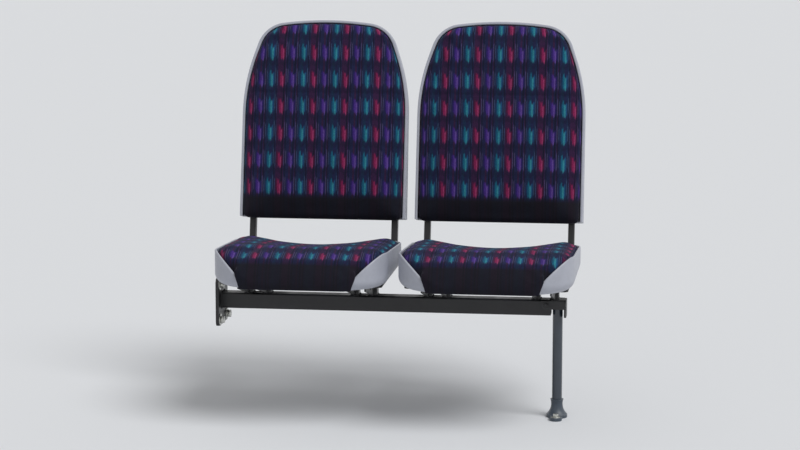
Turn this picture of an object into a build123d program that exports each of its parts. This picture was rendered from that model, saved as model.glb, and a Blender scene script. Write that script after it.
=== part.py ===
from build123d import *
import os
from math import atan2, cos, degrees, radians, sin, sqrt

os.makedirs("parts", exist_ok=True)

# A double passenger seat of a city bus.
# Millimetres and degrees. +X points to the aisle, -X to the side wall, -Y the way
# the passengers face and +Z up. The origin is under the middle of the leg's foot.

# The two places
PLACE_WIDTH = 430          # across one seat or one back
PLACE_GAP = 25             # between the two places
LEG_INSET = 50             # from the aisle edge of the seat in to the leg's axis

# The backs: sloping plates with a crowned top, flared shoulders and upright hips
BACK_TILT = 12             # lean from the vertical
BACK_FOOT_Y = 167          # front lower edge of a back, behind the leg
BACK_FOOT_Z = 468          # and above the floor
BACK_HEIGHT = 510          # up the slope, lower edge to crown
CROWN_RADIUS = 850         # the gentle arch of the top
SHOULDER_HALF = 164        # half the width where the crown would meet the side
SHOULDER_RADIUS = 80
HIP_DROP = 165             # below the crown, where the sides turn straight down
HIP_RADIUS = 470
BACK_DEPTH_LOW = 76        # thickness of the shell at its lower edge
BACK_DEPTH_TOP = 42        # and at its crown
BACK_BULGE_RADIUS = 2200   # of the rear skin, across the back
BACK_EDGE_RADIUS = 20      # round edge of the rear skin
RIM_WIDTH = 7              # the pale bead seen around the upholstery
RIM_DEPTH = 12
RIM_RADIUS = 2.5
SHELL_WALL = 4             # of every plastic moulding
BACK_RIBS = (235, 325, 415)   # heights up the slope of the ribs behind the pad
RIB_THICKNESS = 3
BOSS_WIDTH = 26            # moulded block that a steel upright is bolted to
BOSS_LOW = 30
BOSS_HEIGHT = 120

# The back pads: foam on a board, clipped in between the beads
BACK_PAD_PROUD = 16        # in front of the bead
BACK_PAD_SUNK = 24         # behind the bead's face
BACK_PAD_EDGE = 13
BACK_PAD_DROP = 6          # below the shell's lower edge, where no bead shows
BACK_PAD_CORNER = 16       # of the two lower corners
PAD_GAP = 0.4              # around a pad, to the moulding that holds it

# The seat shells: scoops whose lip falls round the front corners
SEAT_FRONT_Y = -260
SEAT_REAR_Y = 150
SEAT_BASE_Z = 352
LIP_HEIGHT = 84            # lip above the base, behind the nose
TOP_REAR_DROP = 22         # fall of the lip from there to the rear
NOSE_RADIUS = 80
DISH_RADIUS = 950          # hollow across a seat's top
DISH_DEPTH = 20            # of that hollow at the rear, none at the nose
FRONT_CORNER = 113
REAR_CORNER = 60
BASE_EDGE_RADIUS = 26
SEAT_WALL = 5
LIP_ROUND = 2

# The seat pads
SEAT_PAD_CROWN = 6         # sides of the cushion above the lip
SEAT_PAD_NOSE = 8          # nose of the cushion in front of the shell
NOSE_PAD_RADIUS = 78

# The beam, square tube from the side wall to the leg
BEAM_SIZE = 40
BEAM_WALL = 3
BEAM_CORNER = 5
BEAM_TOP_Z = 300

# The wall plate
WALL_GAP = 20              # from the seat's window edge to the side wall
WALL_PLATE = 8
WALL_PLATE_Y = 116
WALL_PLATE_Z = 122
WALL_PLATE_CORNER = 14
WALL_BOLTS_Y = 84
WALL_BOLTS_Z = 90
WALL_BOLT_HOLE = 11

# The steel carriers: a broad flange on two tapered webs, one below each side of a place
CARRIER_INSET = 64         # from a place's side in to the middle of its carrier
CARRIER_WEBS = (-39, 7)    # from that middle, outwards
CARRIER_FRONT_Y = -170
CARRIER_REAR_Y = 208
CARRIER_FLANGE = 98
CARRIER_CORNER = 12
CARRIER_SHEET = 4
CARRIER_TOE = 12           # web below the flange at the front end
CARRIER_HEEL = 28          # web below the flange at the rear end
CARRIER_HOLE = 16
CARRIER_HOLE_Y = (-78, 98)
CARRIER_HOLE_DROP = 16     # hole's middle below the flange
RISER_WIDTH = 20           # square stubs that stand on the beam, round each web
RISER_WALL = 3

# The uprights: flat tubes that rise from the carriers into the backs
UPRIGHT_INSET = 30         # from a place's side in to the middle of its upright
UPRIGHT_WIDTH = 16
UPRIGHT_DEPTH = 25
UPRIGHT_WALL = 2
UPRIGHT_TOP = 165          # up the slope inside the back
UPRIGHT_PAD_GAP = 2        # behind the pad's board
UPRIGHT_SLOT_GAP = 0.4     # round an upright in the shell's floor

# The leg
LEG_DIAMETER = 25
LEG_WALL = 2.5
FOOT_BORE_FLOOR = 8        # solid metal under the tube
SOCKET_WALL = 4
SOCKET_GAP = 0.15
HEAD_SHEET = 5
HEAD_BLOCK = 23            # height of the block on the leg's top, at the beam's end
HEAD_STRAP_DROP = 5        # outboard strap, below the beam
FAN_STRIP = 3              # straight edge of a fan plate, above its round corner
FAN_INSET = 2              # fan plate's upper edge, below the beam's top
FAN_REACH = 24             # radius of the fans, inwards from the block
HEAD_BOLT_HOLE = 7
HEAD_BOLT_INSET = 11       # bolt's axis, in from the block and below the fan's upper edge

# The foot, a casting with a flared skirt and a lug before and behind
FOOT_WIDTH = 52
FOOT_LUG_PITCH = 84        # between the two bolts
FOOT_LUG_RADIUS = 15
FOOT_BASE = 8
FOOT_HEIGHT = 46
FOOT_NECK_CURVE = 34       # radius of the flared skirt
FOOT_BOLT_HOLE = 9

# Values worked out from the dimensions above
HALF = PLACE_WIDTH / 2
AISLE_EDGE_X = LEG_INSET
AISLE_X = AISLE_EDGE_X - HALF
WINDOW_X = AISLE_X - PLACE_WIDTH - PLACE_GAP
WALL_X = WINDOW_X - HALF - WALL_GAP
BEAM_MIDDLE_Z = BEAM_TOP_Z - BEAM_SIZE / 2
BEAM_START_X = WALL_X + WALL_PLATE
SOCKET_RADIUS = LEG_DIAMETER / 2 + SOCKET_GAP + SOCKET_WALL
BEAM_LENGTH = -SOCKET_RADIUS - BEAM_START_X
LEG_TOP_Z = BEAM_TOP_Z - HEAD_SHEET
LIP_Z = SEAT_BASE_Z + LIP_HEIGHT
UPRIGHT_FRONT = BACK_PAD_SUNK + UPRIGHT_PAD_GAP
FAR = 2000                 # longer than anything here, for cutting tools
TOUCH = 0.01               # points nearer than this to a line count as on it
MARGIN = 1                 # edges farther than this from a level count as off it

PLACES = {"aisle": AISLE_X, "window": WINDOW_X}


def save(shape, node, colour):
    """Writes one sub-part as its own STEP file."""
    shape.label = node
    shape.color = Color(colour)
    export_step(shape, f"parts/{node}.step")
    print(node, round(shape.volume / 1000, 1), "cm3")


def side_profile(points, half_width):
    """A closed outline of lines in the Y-Z plane, drawn out to both sides of X = 0."""
    face = make_face(Plane.YZ * Polyline(*points, close=True))
    return extrude(face, half_width, both=True)


# The backs, drawn flat: X across, Y up the slope, +Z forwards

def back_outline(inset, low):
    """The front outline of a back, `inset` inside its edge and cut straight at `low`."""
    half = HALF - inset
    shoulder = SHOULDER_HALF - inset
    crown = BACK_HEIGHT - inset
    radius = CROWN_RADIUS - inset
    shoulder_y = crown - radius + sqrt(radius**2 - shoulder**2)
    hip_y = BACK_HEIGHT - HIP_DROP
    arch = ThreePointArc((-shoulder, shoulder_y), (0, crown), (shoulder, shoulder_y))
    sides = Polyline(
        (shoulder, shoulder_y), (half, hip_y), (half, low),
        (-half, low), (-half, hip_y), (-shoulder, shoulder_y),
    )
    face = make_face([*arch.edges(), *sides.edges()])
    shoulders = face.vertices().filter_by(lambda v: abs(v.Y - shoulder_y) < TOUCH)
    face = fillet(shoulders, SHOULDER_RADIUS - inset)
    hips = face.vertices().filter_by(lambda v: abs(v.Y - hip_y) < TOUCH)
    return fillet(hips, HIP_RADIUS)


def back_block(inset, front, low):
    """The closed form of a back, `inset` inside its skin, from depth `front` to the rear.

    The rear skin is a piece of a wide cylinder whose axis leans with the taper of the back.
    """
    deep = BACK_DEPTH_LOW + BACK_EDGE_RADIUS
    block = Pos(0, 0, -front) * extrude(back_outline(inset, low), -deep)
    taper = degrees(atan2(BACK_DEPTH_LOW - BACK_DEPTH_TOP, BACK_HEIGHT))
    barrel = Rot(90, 0, 0) * Cylinder(BACK_BULGE_RADIUS - inset, FAR)
    rear = Pos(0, 0, -BACK_DEPTH_LOW) * Rot(taper, 0, 0) * Pos(0, 0, BACK_BULGE_RADIUS) * barrel
    block = block & rear
    skin = block.faces().filter_by(GeomType.CYLINDER).sort_by(Axis.Z)[0]
    edges = skin.edges().filter_by(lambda e: e.center().Y > low + MARGIN)
    return fillet(edges, BACK_EDGE_RADIUS - inset)


def back_shell():
    """A tray with a bead round its front, ribs behind the pad and bosses for the uprights."""
    skin = back_block(0, 0, 0)
    below = -PLACE_WIDTH / 4
    hollow = back_block(SHELL_WALL, RIM_DEPTH, SHELL_WALL)
    mouth = extrude(back_outline(RIM_WIDTH, below), -(BACK_PAD_SUNK + PAD_GAP))
    shell = skin - hollow - mouth
    core = back_block(SHELL_WALL / 2, RIM_DEPTH, 0)
    for height in BACK_RIBS:
        rib = Pos(0, height, -BACK_PAD_SUNK) * Box(
            PLACE_WIDTH, RIB_THICKNESS, BACK_DEPTH_LOW, align=(Align.CENTER, Align.CENTER, Align.MAX)
        )
        shell = shell + (rib & core)
    for side in (-1, 1):
        line = side * (HALF - UPRIGHT_INSET)
        boss = Pos(line, BOSS_LOW, -UPRIGHT_FRONT - UPRIGHT_DEPTH) * Box(
            BOSS_WIDTH, BOSS_HEIGHT, BACK_DEPTH_LOW, align=(Align.CENTER, Align.MIN, Align.MAX)
        )
        slot = Pos(line, 0, -UPRIGHT_FRONT - UPRIGHT_DEPTH / 2) * Box(
            UPRIGHT_WIDTH + 2 * UPRIGHT_SLOT_GAP, 4 * SHELL_WALL, UPRIGHT_DEPTH + 2 * UPRIGHT_SLOT_GAP
        )
        shell = shell + (boss & core) - slot
    front = shell.faces().sort_by(Axis.Z)[-1]
    bead = front.edges().filter_by(lambda e: e.center().Y > MARGIN)
    return fillet(bead, RIM_RADIUS)


def back_pad():
    """The upholstered board between the beads."""
    outline = back_outline(RIM_WIDTH + PAD_GAP, -BACK_PAD_DROP)
    corners = outline.vertices().filter_by(lambda v: v.Y < 0)
    outline = fillet(corners, BACK_PAD_CORNER)
    pad = extrude(outline, BACK_PAD_PROUD) + extrude(outline, -BACK_PAD_SUNK)
    front = pad.faces().sort_by(Axis.Z)[-1]
    return fillet(front.edges(), BACK_PAD_EDGE)


def back_plane(middle):
    """Where a back stands: its lower front edge, leaning rearwards."""
    lean = radians(BACK_TILT)
    return Plane(
        origin=(middle, BACK_FOOT_Y, BACK_FOOT_Z),
        x_dir=(1, 0, 0),
        z_dir=(0, -cos(lean), sin(lean)),
    )


# The seats, drawn at X = 0 in their real place along Y and Z

def seat_plan(inset):
    """The outline of a seat seen from above, `inset` inside its edge."""
    half = HALF - inset
    front = SEAT_FRONT_Y + inset
    rear = SEAT_REAR_Y - inset
    face = make_face(Polyline((-half, front), (half, front), (half, rear), (-half, rear), close=True))
    front_corners = face.vertices().filter_by(lambda v: v.Y < 0)
    face = fillet(front_corners, FRONT_CORNER - inset)
    rear_corners = face.vertices().filter_by(lambda v: abs(v.Y - rear) < TOUCH)
    return fillet(rear_corners, REAR_CORNER - inset)


def seat_tub(inset, base):
    """The solid tub of a seat, `inset` inside its wall, with a rounded lower edge."""
    tub = Pos(0, 0, base) * extrude(seat_plan(inset), LIP_HEIGHT + SEAT_PAD_CROWN)
    floor = tub.faces().sort_by(Axis.Z)[0]
    return fillet(floor.edges(), BASE_EDGE_RADIUS - inset)


def seat_side(front, top, radius):
    """All that is below a seat's top: upright front, round nose and a dished, falling top."""
    turn = top - radius
    base = SEAT_BASE_Z - radius
    face = Plane.YZ * make_face(
        [
            Line((front, base), (front, turn)).edge(),
            RadiusArc((front, turn), (front + radius, top), radius).edge(),
            Line((front + radius, top), (SEAT_REAR_Y, top - TOP_REAR_DROP)).edge(),
            Line((SEAT_REAR_Y, top - TOP_REAR_DROP), (SEAT_REAR_Y, base)).edge(),
            Line((SEAT_REAR_Y, base), (front, base)).edge(),
        ]
    )
    crest = SEAT_FRONT_Y + NOSE_RADIUS
    fall = degrees(atan2(TOP_REAR_DROP + DISH_DEPTH, SEAT_REAR_Y - crest))
    barrel = Rot(90, 0, 0) * Cylinder(DISH_RADIUS, FAR)
    dish = Pos(0, crest, top) * Rot(-fall, 0, 0) * Pos(0, 0, DISH_RADIUS) * barrel
    return extrude(face, PLACE_WIDTH, both=True) - dish


def seat_shell():
    """A scoop: a floor, and side walls whose lip falls round the front corners."""
    tray = seat_tub(0, SEAT_BASE_Z) - seat_tub(SEAT_WALL, SEAT_BASE_Z + SEAT_WALL)
    front = SEAT_FRONT_Y + SEAT_WALL
    scoop = tray & seat_side(front, LIP_Z, NOSE_RADIUS)
    edges = scoop.edges().filter_by(Axis.Z, reverse=True)
    lip = edges.filter_by(lambda e: e.center().Z > SEAT_BASE_Z + BASE_EDGE_RADIUS + MARGIN)
    return fillet(lip, LIP_ROUND)


def seat_pad():
    """The cushion: it fills the scoop and its nose drops over the floor's front edge."""
    inset = SEAT_WALL + PAD_GAP
    filling = seat_tub(inset, SEAT_BASE_Z + inset)
    height = LIP_HEIGHT + SEAT_PAD_CROWN
    room = Pos(0, SEAT_FRONT_Y + SEAT_WALL - PAD_GAP, 0) * Box(
        FAR, FAR, FAR, align=(Align.CENTER, Align.MIN, Align.CENTER)
    )
    nose = Pos(0, 0, SEAT_BASE_Z) * extrude(seat_plan(-SEAT_PAD_NOSE), height) - room
    neck = Pos(0, SEAT_FRONT_Y, SEAT_BASE_Z + BASE_EDGE_RADIUS + PAD_GAP) * Box(
        PLACE_WIDTH - 2 * FRONT_CORNER, NOSE_RADIUS, height,
        align=(Align.CENTER, Align.MIN, Align.MIN),
    )
    front = SEAT_FRONT_Y - SEAT_PAD_NOSE
    top = LIP_Z + SEAT_PAD_CROWN
    side = seat_side(front, top, NOSE_PAD_RADIUS)
    return (filling + nose + neck) & side


# The steel frame

def seat_carrier(side):
    """A flange that the scoop is bolted to, on two tapered webs with stubs on the beam."""
    under = SEAT_BASE_Z - CARRIER_SHEET
    stand = BEAM_SIZE / 2 - BEAM_CORNER
    length = CARRIER_REAR_Y - CARRIER_FRONT_Y
    carrier = Pos(0, CARRIER_FRONT_Y + length / 2, under) * extrude(
        RectangleRounded(CARRIER_FLANGE, length, CARRIER_CORNER), CARRIER_SHEET
    )
    web = side_profile(
        [
            (CARRIER_FRONT_Y + CARRIER_CORNER, under),
            (CARRIER_FRONT_Y + CARRIER_CORNER, under - CARRIER_TOE),
            (-stand, BEAM_TOP_Z), (stand, BEAM_TOP_Z),
            (CARRIER_REAR_Y - CARRIER_CORNER, under - CARRIER_HEEL),
            (CARRIER_REAR_Y - CARRIER_CORNER, under),
        ],
        CARRIER_SHEET / 2,
    )
    for along in CARRIER_HOLE_Y:
        hole = Pos(0, along, under - CARRIER_HOLE_DROP) * Rot(0, 90, 0) * Cylinder(CARRIER_HOLE / 2, FAR)
        web = web - hole
    stub = Rectangle(RISER_WIDTH, 2 * stand)
    room = Rectangle(RISER_WIDTH - 2 * RISER_WALL, 2 * (stand - RISER_WALL))
    riser = Pos(0, 0, BEAM_TOP_Z) * extrude(stub - room, under - BEAM_TOP_Z)
    for line in CARRIER_WEBS:
        carrier = carrier + Pos(side * line, 0, 0) * (web + riser)
    return carrier


def back_upright(middle):
    """A flat tube, from the carrier's flange up behind the back's pad."""
    tube = Rectangle(UPRIGHT_WIDTH, UPRIGHT_DEPTH)
    tube = fillet(tube.vertices(), 2 * UPRIGHT_WALL)
    bore = offset(tube, -UPRIGHT_WALL)
    start = -2 * (BACK_FOOT_Z - SEAT_BASE_Z)
    tube = Pos(0, start, -UPRIGHT_FRONT - UPRIGHT_DEPTH / 2) * Rot(-90, 0, 0) * extrude(
        tube - bore, UPRIGHT_TOP - start
    )
    tube = back_plane(middle) * tube
    floor = Pos(middle, 0, SEAT_BASE_Z) * Box(
        PLACE_WIDTH, FAR, FAR, align=(Align.CENTER, Align.CENTER, Align.MAX)
    )
    return tube - floor


def square_tube(size, corner):
    """A rounded square in the Y-Z plane."""
    face = Rectangle(size, size)
    return fillet(face.vertices(), corner)


def cross_beam():
    """The square tube from the wall plate to the leg."""
    outer = square_tube(BEAM_SIZE, BEAM_CORNER)
    inner = square_tube(BEAM_SIZE - 2 * BEAM_WALL, BEAM_CORNER - BEAM_WALL)
    return Pos(BEAM_START_X, 0, BEAM_MIDDLE_Z) * Rot(0, 90, 0) * extrude(outer - inner, BEAM_LENGTH)


def wall_plate():
    """The welded flange that is bolted to the side wall."""
    plate = RectangleRounded(WALL_PLATE_Z, WALL_PLATE_Y, WALL_PLATE_CORNER)
    for along in (-WALL_BOLTS_Z / 2, WALL_BOLTS_Z / 2):
        for across in (-WALL_BOLTS_Y / 2, WALL_BOLTS_Y / 2):
            plate = plate - Pos(along, across) * Circle(WALL_BOLT_HOLE / 2)
    return Pos(WALL_X, 0, BEAM_MIDDLE_Z) * Rot(0, 90, 0) * extrude(plate, WALL_PLATE)


def leg_head():
    """A bracket at the beam's end: a block on the leg's top, a strap outboard and two fans."""
    half = BEAM_SIZE / 2
    block = Pos(0, 0, BEAM_TOP_Z) * Box(
        2 * SOCKET_RADIUS, BEAM_SIZE, HEAD_BLOCK, align=(Align.CENTER, Align.CENTER, Align.MAX)
    )
    bore = Pos(0, 0, LEG_TOP_Z) * Cylinder(
        LEG_DIAMETER / 2 + SOCKET_GAP, BEAM_SIZE, align=(Align.CENTER, Align.CENTER, Align.MAX)
    )
    height = BEAM_SIZE + HEAD_STRAP_DROP
    strap = Rectangle(height, BEAM_SIZE + 2 * HEAD_SHEET)
    strap = fillet(strap.vertices(), 2 * HEAD_SHEET)
    strap = Pos(SOCKET_RADIUS, 0, BEAM_TOP_Z - height / 2) * Rot(0, 90, 0) * extrude(strap, HEAD_SHEET)
    top = BEAM_TOP_Z - FAN_INSET
    corner = top - FAN_STRIP
    fan = Plane.XZ * make_face(
        [
            Line((SOCKET_RADIUS, top), (-SOCKET_RADIUS - FAN_REACH, top)).edge(),
            Line((-SOCKET_RADIUS - FAN_REACH, top), (-SOCKET_RADIUS - FAN_REACH, corner)).edge(),
            RadiusArc(
                (-SOCKET_RADIUS - FAN_REACH, corner), (-SOCKET_RADIUS, corner - FAN_REACH), -FAN_REACH
            ).edge(),
            Line((-SOCKET_RADIUS, corner - FAN_REACH), (-SOCKET_RADIUS, BEAM_TOP_Z - HEAD_BLOCK)).edge(),
            Line((-SOCKET_RADIUS, BEAM_TOP_Z - HEAD_BLOCK), (SOCKET_RADIUS, BEAM_TOP_Z - HEAD_BLOCK)).edge(),
            Line((SOCKET_RADIUS, BEAM_TOP_Z - HEAD_BLOCK), (SOCKET_RADIUS, top)).edge(),
        ]
    )
    fans = extrude(fan, half + HEAD_SHEET, both=True)
    fans = fans - Box(FAR, BEAM_SIZE, FAR)
    bolt = Pos(-SOCKET_RADIUS - HEAD_BOLT_INSET, 0, top - HEAD_BOLT_INSET) * Rot(90, 0, 0) * Cylinder(
        HEAD_BOLT_HOLE / 2, FAR
    )
    return block + strap + fans - bolt - bore


def leg_tube():
    """The round tube between foot and head."""
    ring = Circle(LEG_DIAMETER / 2) - Circle(LEG_DIAMETER / 2 - LEG_WALL)
    return Pos(0, 0, FOOT_BORE_FLOOR) * extrude(ring, LEG_TOP_Z - FOOT_BORE_FLOOR)


def leg_foot():
    """A casting: a flared skirt round the tube, and a lug with a bolt hole before and behind."""
    neck = SOCKET_RADIUS
    skirt = FOOT_WIDTH / 2
    section = Plane.XZ * make_face(
        [
            Line((0, 0), (skirt, 0)).edge(),
            Line((skirt, 0), (skirt, FOOT_BASE)).edge(),
            RadiusArc((skirt, FOOT_BASE), (neck, FOOT_HEIGHT), FOOT_NECK_CURVE).edge(),
            Line((neck, FOOT_HEIGHT), (0, FOOT_HEIGHT)).edge(),
            Line((0, FOOT_HEIGHT), (0, 0)).edge(),
        ]
    )
    body = revolve(section, Axis.Z)
    lugs = extrude(SlotCenterToCenter(FOOT_LUG_PITCH, 2 * FOOT_LUG_RADIUS, rotation=90), FOOT_BASE)
    body = body + lugs
    bore = Pos(0, 0, FOOT_BORE_FLOOR) * Cylinder(
        LEG_DIAMETER / 2 + SOCKET_GAP, FOOT_HEIGHT, align=(Align.CENTER, Align.CENTER, Align.MIN)
    )
    body = body - bore
    for side in (-1, 1):
        body = body - Pos(0, side * FOOT_LUG_PITCH / 2, 0) * Cylinder(FOOT_BOLT_HOLE / 2, 4 * FOOT_BASE)
    return body


# The assembly

shell = back_shell()
pad = back_pad()
scoop = seat_shell()
cushion = seat_pad()

for place, middle in PLACES.items():
    save(back_plane(middle) * shell, f"back_shell_{place}", "LightGray")
    save(back_plane(middle) * pad, f"back_pad_{place}", "MediumPurple")
    save(Pos(middle, 0, 0) * scoop, f"seat_shell_{place}", "LightGray")
    save(Pos(middle, 0, 0) * cushion, f"seat_pad_{place}", "MediumPurple")
    for hand, side in {"left": -1, "right": 1}.items():
        carrier = Pos(middle + side * (HALF - CARRIER_INSET), 0, 0) * seat_carrier(side)
        save(carrier, f"seat_carrier_{place}_{hand}", "DimGray")
        upright = back_upright(middle + side * (HALF - UPRIGHT_INSET))
        save(upright, f"back_upright_{place}_{hand}", "DimGray")

save(cross_beam(), "cross_beam", "DimGray")
save(wall_plate(), "wall_plate", "DimGray")
save(leg_head(), "leg_head", "Black")
save(leg_tube(), "leg_tube", "SlateGray")
save(leg_foot(), "leg_foot", "SlateGray")
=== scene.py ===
# %% [markdown]
# The looks of a double city bus seat
#
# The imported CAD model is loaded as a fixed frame: steel beam, leg, wall plate, moulded shells.
# Those rigid nodes keep their shape and get a finish. The four pads are plain solids there,
# so they are made again here as stuffed cushions under patterned moquette, and the small
# fasteners, welds and caps that a fitter would see are added.
# Everything is in metres: +X to the aisle, -Y the way the passengers face, +Z up.

import math
from collections import namedtuple

import bmesh
import bpy
import numpy as np
from mathutils import Matrix, Vector


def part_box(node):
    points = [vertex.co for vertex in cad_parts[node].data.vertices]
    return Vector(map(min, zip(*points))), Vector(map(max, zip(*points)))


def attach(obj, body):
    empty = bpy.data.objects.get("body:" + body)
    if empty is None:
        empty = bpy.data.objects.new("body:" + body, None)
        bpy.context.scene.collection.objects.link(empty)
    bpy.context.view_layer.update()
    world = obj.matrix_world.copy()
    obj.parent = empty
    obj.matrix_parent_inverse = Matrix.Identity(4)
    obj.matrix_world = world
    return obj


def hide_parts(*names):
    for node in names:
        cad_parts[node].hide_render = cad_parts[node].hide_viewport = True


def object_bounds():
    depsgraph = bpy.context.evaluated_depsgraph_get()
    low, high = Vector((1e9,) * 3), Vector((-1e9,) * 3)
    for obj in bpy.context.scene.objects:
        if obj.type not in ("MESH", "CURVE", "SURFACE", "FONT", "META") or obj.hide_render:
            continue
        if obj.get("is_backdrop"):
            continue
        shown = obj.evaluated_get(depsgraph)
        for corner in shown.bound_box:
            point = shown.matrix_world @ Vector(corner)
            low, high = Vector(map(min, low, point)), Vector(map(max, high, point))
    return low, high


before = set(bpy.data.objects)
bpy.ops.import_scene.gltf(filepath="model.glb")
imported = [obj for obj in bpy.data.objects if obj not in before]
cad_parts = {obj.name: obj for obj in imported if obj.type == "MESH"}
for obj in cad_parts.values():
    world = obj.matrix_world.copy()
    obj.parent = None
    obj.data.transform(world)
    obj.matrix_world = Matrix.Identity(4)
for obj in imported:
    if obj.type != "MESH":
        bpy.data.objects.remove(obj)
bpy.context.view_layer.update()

# %% [markdown]
# The camera
#
# It stands as in the photo: 1.46 m above the floor, 6.2 m in front of the seat and a little
# outboard of it in the aisle. A long lens brings the seat near without changing the
# perspective, because perspective comes from the distance and not from the lens.

# %% Camera
EYE = Vector((0.400, -6.195, 1.462))
LOOK_AT = Vector((-0.396, 0.0, 0.478))
LENS_MM = 114.0

bpy.ops.object.select_all(action="DESELECT")
bpy.ops.object.camera_add(location=EYE)
camera = bpy.context.object
camera.name = "aisle_camera"
camera.data.lens = LENS_MM
camera.rotation_euler = (LOOK_AT - EYE).to_track_quat("-Z", "Y").to_euler()
bpy.context.scene.camera = camera
print("camera", round((LOOK_AT - EYE).length, 2), "m away")

# %% [markdown]
# Colours and nodes
#
# A material is a graph of nodes. Colours are written as 0 to 255, as on a colour card, and
# turned into the light values that Blender uses. A second helper adds a node and plugs in what
# feeds it, so that the recipes below read as a list of steps.

# %% Colours and nodes
def paint(red, green, blue):
    """A colour-card value as linear light."""
    def linear(value):
        value = value / 255
        return value / 12.92 if value <= 0.04045 else ((value + 0.055) / 1.055) ** 2.4
    return (linear(red), linear(green), linear(blue), 1.0)


def add(tree, kind, inputs=None, **settings):
    """Adds a shader node; each input is either a number or another node's output."""
    made = tree.nodes.new("ShaderNode" + kind)
    for name, value in settings.items():
        setattr(made, name, value)
    for key, value in (inputs or {}).items():
        if isinstance(value, bpy.types.NodeSocket):
            tree.links.new(value, made.inputs[key])
        else:
            made.inputs[key].default_value = value
    return made


print("middle grey as light", round(paint(128, 128, 128)[0], 3))

# %% [markdown]
# Sums with nodes
#
# Most of a recipe is small sums: multiply two masks, stretch a value to another range, lay one
# colour over another where a mask says so. They could be typed out each time, but the recipe
# would drown in socket numbers, so each kind of sum gets a short helper.

# %% Sums with nodes
def calc(tree, operation, a, b=0.0, c=0.0):
    """One step of arithmetic; `c` counts only where the operation has three inputs."""
    return add(tree, "Math", {0: a, 1: b, 2: c}, operation=operation).outputs[0]


def blend(tree, mask, below, above, how="MIX"):
    """`above` over `below` where the mask is 1."""
    made = add(tree, "Mix", {0: mask, 6: below, 7: above}, data_type="RGBA", blend_type=how)
    return made.outputs[2]


def spread(tree, value, low, high, to_low=0.0, to_high=1.0):
    """Stretches a value from one range to another and clamps it."""
    ranges = {0: value, 1: low, 2: high, 3: to_low, 4: to_high}
    return add(tree, "MapRange", ranges, clamp=True).outputs[0]


def noise(tree, where, scale, detail, roughness):
    """Soft random patches from 0 to 1; `scale` is about how many fit in a metre."""
    inputs = {"Vector": where, "Scale": scale, "Detail": detail, "Roughness": roughness}
    return add(tree, "TexNoise", inputs).outputs["Fac"]


print("sums", [helper.__name__ for helper in (calc, blend, spread, noise)])

# %% [markdown]
# Node groups
#
# An effect that several materials share is a node group: a small graph with named inputs and
# outputs, as a plug-in box. It could be copied into each material, but then a change would have
# to be made in each copy. One helper makes an empty box and one places it with its own values.

# %% Node groups
def new_group(name, inputs, outputs):
    """An empty node group; each input is its label and its usual value."""
    group = bpy.data.node_groups.new(name, "ShaderNodeTree")
    for label, value in inputs.items():
        made = group.interface.new_socket(label, in_out="INPUT", socket_type="NodeSocketFloat")
        made.default_value = value
    for label in outputs:
        group.interface.new_socket(label, in_out="OUTPUT", socket_type="NodeSocketFloat")
    given = group.nodes.new("NodeGroupInput").outputs
    return group, given, group.nodes.new("NodeGroupOutput").inputs


def use(tree, group, **values):
    """Places a node group in a material with its own values."""
    made = tree.nodes.new("ShaderNodeGroup")
    made.node_tree = group
    for label, value in values.items():
        made.inputs[label].default_value = value
    return made.outputs


print("groups", [helper.__name__ for helper in (new_group, use)])

# %% [markdown]
# Worn edges, and a painted highlight
#
# Sleeves and shoes rub the sharp edges of a seat first. The Bevel node gives the normal that a
# rounded edge would have. Where it differs from the true normal there is an edge, and the
# cosine between the two says how near. A hand-painted mask would do it too, but this one fits
# every piece by itself. Noise breaks the line up, because nothing wears evenly. Where the worn
# colour is lighter than the surface, as on the pale shell, the mask also paints a highlight
# along the edges.

# %% Edge wear
BESIDE_EDGE = 0.985
ON_EDGE = 0.86


def edge_wear_group():
    """Mask of edges within `Width`, broken up into patches."""
    tree, given, out = new_group("edge_wear_and_highlight", {"Width": 0.002, "Amount": 0.5}, ["Mask"])
    rounded = add(tree, "Bevel", {"Radius": given["Width"]}, samples=4).outputs[0]
    true = add(tree, "NewGeometry").outputs["Normal"]
    cosine = add(tree, "VectorMath", {0: rounded, 1: true}, operation="DOT_PRODUCT")
    edge = spread(tree, cosine.outputs["Value"], BESIDE_EDGE, ON_EDGE)
    where = add(tree, "TexCoord").outputs["Object"]
    cloudy = noise(tree, where, scale=60, detail=5, roughness=0.65)
    patches = spread(tree, cloudy, low=0.42, high=0.62)
    mask = calc(tree, "MULTIPLY", calc(tree, "MULTIPLY", edge, patches), given["Amount"])
    tree.links.new(mask, out["Mask"])
    return tree


edge_wear_and_highlight = edge_wear_group()
print("shared effect", edge_wear_and_highlight.name, "with", len(edge_wear_and_highlight.nodes), "nodes")

# %% [markdown]
# Grain and grime
#
# Grain is the fine pebble of a mould or the orange peel of powder coat, and with it comes a slow
# drift of tone over the piece. Grime is the soft darkening in patches that cleaning never quite
# removes, and surfaces that look up catch more of it. An image could hold both, but it would
# need a map on every piece, while noise on Object coordinates needs none.

# %% Grain and grime
def grain_group():
    """Fine pebble for the Bump height, and a slow drift of tone."""
    tree, given, out = new_group("grain", {"Fineness": 700.0}, ["Height", "Drift"])
    where = add(tree, "TexCoord").outputs["Object"]
    pebble = noise(tree, where, scale=given["Fineness"], detail=2, roughness=0.6)
    tree.links.new(pebble, out["Height"])
    tree.links.new(noise(tree, where, scale=9, detail=4, roughness=0.6), out["Drift"])
    return tree


def grime_group():
    """Soft dirt: more of it on surfaces that look up, and in smeared patches."""
    tree, given, out = new_group("grime", {"Amount": 0.3}, ["Mask"])
    where = add(tree, "TexCoord").outputs["Object"]
    normal = add(tree, "NewGeometry").outputs["Normal"]
    facing = add(tree, "SeparateXYZ", {0: normal}).outputs["Z"]
    upward = spread(tree, facing, low=-0.2, high=1.0, to_low=0.35)
    cloudy = noise(tree, where, scale=22, detail=6, roughness=0.7)
    smears = spread(tree, cloudy, low=0.45, high=0.75)
    mask = calc(tree, "MULTIPLY", calc(tree, "MULTIPLY", upward, smears), given["Amount"])
    tree.links.new(mask, out["Mask"])
    return tree


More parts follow.
